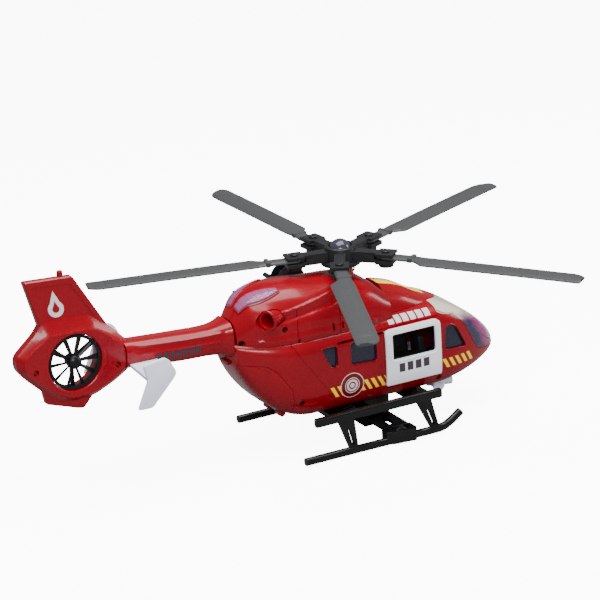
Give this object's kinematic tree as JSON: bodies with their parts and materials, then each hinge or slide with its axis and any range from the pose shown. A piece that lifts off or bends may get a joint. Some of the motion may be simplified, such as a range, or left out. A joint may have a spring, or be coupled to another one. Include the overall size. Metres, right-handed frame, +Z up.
{
  "type": "toy helicopter",
  "caption": "Toy rescue helicopter with a folding-blade rotor, shrouded tail fan, sliding cabin doors, drop-down rear hatch, hoist drum, tilting search lamp and skids with a rolling axle",
  "frame": {"origin": "bottom centre of the whole box, on the plane of the skid soles", "axes": "+X to the nose, +Y to port, +Z up"},
  "size_m": [0.4764, 0.3916, 0.1835],
  "materials": {
    "red_shell": "glossy moulded plastic",
    "white_door": "semi-gloss moulded plastic",
    "clear_pane": "clear moulded plastic",
    "smoked_pane": "smoked clear plastic",
    "black_skid": "glossy moulded plastic",
    "satin_rotor": "satin moulded plastic",
    "grey_blade": "satin moulded plastic",
    "lilac_trim": "pale moulded plastic",
    "pink_lens": "clear pink plastic over a violet core",
    "cabin_black": "matt moulded plastic",
    "pale_fitting": "matt moulded plastic",
    "violet_dash": "matt moulded plastic",
    "steel": "bare steel",
    "green_board": "lacquered board"
  },
  "bodies": {
    "airframe": {"battery_box": "cabin_black", "battery_cover": "black_skid", "cabin_floor": "cabin_black", "circuit_board": "green_board", "cockpit_window_left": "smoked_pane", "cockpit_window_right": "smoked_pane", "control_wheel": "pale_fitting", "cross_beam_front": "black_skid", "cross_beam_rear": "black_skid", "dashboard": "violet_dash", "drive_box": "black_skid", "engine_cowling": "red_shell", "exhaust_left": "red_shell", "exhaust_right": "red_shell", "fan_bracket": "black_skid", "fuselage_left": "red_shell", "fuselage_right": "red_shell", "hatch_pin": "steel", "hoist_bracket": "black_skid", "lamp_mount": "lilac_trim", "lens_left": "pink_lens", "lens_right": "pink_lens", "mast_collar": "red_shell", "roof_fairing": "red_shell", "seat_left": "pale_fitting", "seat_right": "pale_fitting", "side_window_left": "smoked_pane", "side_window_right": "smoked_pane", "skid_left": "black_skid", "skid_right": "black_skid", "sound_box": "cabin_black", "speaker": "steel", "stabiliser": "lilac_trim", "stretcher": "pale_fitting", "tail_beacon": "red_shell", "tail_left": "red_shell", "tail_right": "red_shell", "windshield": "clear_pane"},
    "rotor": {"rotor_shaft": "steel", "rotor_hub": "satin_rotor", "hub_cap": "satin_rotor", "blade_screw_1": "satin_rotor", "blade_screw_2": "satin_rotor", "blade_screw_3": "satin_rotor", "blade_screw_4": "satin_rotor", "blade_screw_5": "satin_rotor"},
    "tail_rotor": {"tail_fan": "black_skid"},
    "door_right": {"door_right": "white_door"},
    "door_left": {"door_left": "white_door"},
    "hatch": {"rear_hatch": "red_shell"},
    "hoist": {"hoist_drum": "black_skid"},
    "lamp": {"search_lamp": "lilac_trim"},
    "wheels": {"drive_axle": "steel", "wheel_right": "black_skid", "wheel_left": "black_skid"},
    "blade_1": {"blade_1": "grey_blade"},
    "blade_2": {"blade_2": "grey_blade"},
    "blade_3": {"blade_3": "grey_blade"},
    "blade_4": {"blade_4": "grey_blade"},
    "blade_5": {"blade_5": "grey_blade"}
  },
  "joints": [
    {"name": "rotor_spin", "type": "hinge", "parent": "airframe", "child": "rotor", "pos_m": [0.04777, -0.0088, 0.138], "axis": [0, 0, 1], "continuous": true},
    {"name": "blade_1_fold", "type": "hinge", "parent": "rotor", "child": "blade_1", "pos_m": [0.0287, -0.04131, 0.1455], "axis": [0, 0, 1], "range_deg": [-39.5, 20.5]},
    {"name": "blade_2_fold", "type": "hinge", "parent": "rotor", "child": "blade_2", "pos_m": [0.0728, -0.03699, 0.1455], "axis": [0, 0, 1], "range_deg": [-26.1, 33.9]},
    {"name": "blade_3_fold", "type": "hinge", "parent": "rotor", "child": "blade_3", "pos_m": [0.08232, 0.0063, 0.1455], "axis": [0, 0, 1], "range_deg": [-30.9, 29.1]},
    {"name": "blade_4_fold", "type": "hinge", "parent": "rotor", "child": "blade_4", "pos_m": [0.0441, 0.02872, 0.1455], "axis": [0, 0, 1], "range_deg": [-25.2, 34.8]},
    {"name": "blade_5_fold", "type": "hinge", "parent": "rotor", "child": "blade_5", "pos_m": [0.01095, -0.0007, 0.1455], "axis": [0, 0, 1], "range_deg": [-26, 34]},
    {"name": "tail_rotor_spin", "type": "hinge", "parent": "airframe", "child": "tail_rotor", "pos_m": [-0.19093, -0.0133, 0.1103], "axis": [0, 1, 0], "continuous": true},
    {"name": "door_right_slide", "type": "slide", "parent": "airframe", "child": "door_right", "axis": [-1, 0, 0], "range_m": [0, 0.042]},
    {"name": "door_left_slide", "type": "slide", "parent": "airframe", "child": "door_left", "axis": [-1, 0, 0], "range_m": [0, 0.042]},
    {"name": "hatch_hinge", "type": "hinge", "parent": "airframe", "child": "hatch", "pos_m": [-0.01852, -0.0088, 0.0298], "axis": [0, -1, 0], "range_deg": [0, 70]},
    {"name": "hoist_crank", "type": "hinge", "parent": "airframe", "child": "hoist", "pos_m": [0.02077, 0.0252, 0.1185], "axis": [0, 1, 0], "continuous": true},
    {"name": "lamp_tilt", "type": "hinge", "parent": "airframe", "child": "lamp", "pos_m": [0.12777, -0.0088, 0.0183], "axis": [0, 1, 0], "range_deg": [-10, 60]},
    {"name": "wheel_spin", "type": "hinge", "parent": "airframe", "child": "wheels", "pos_m": [0.06327, -0.0088, 0.0067], "axis": [0, 1, 0], "continuous": true}
  ]
}
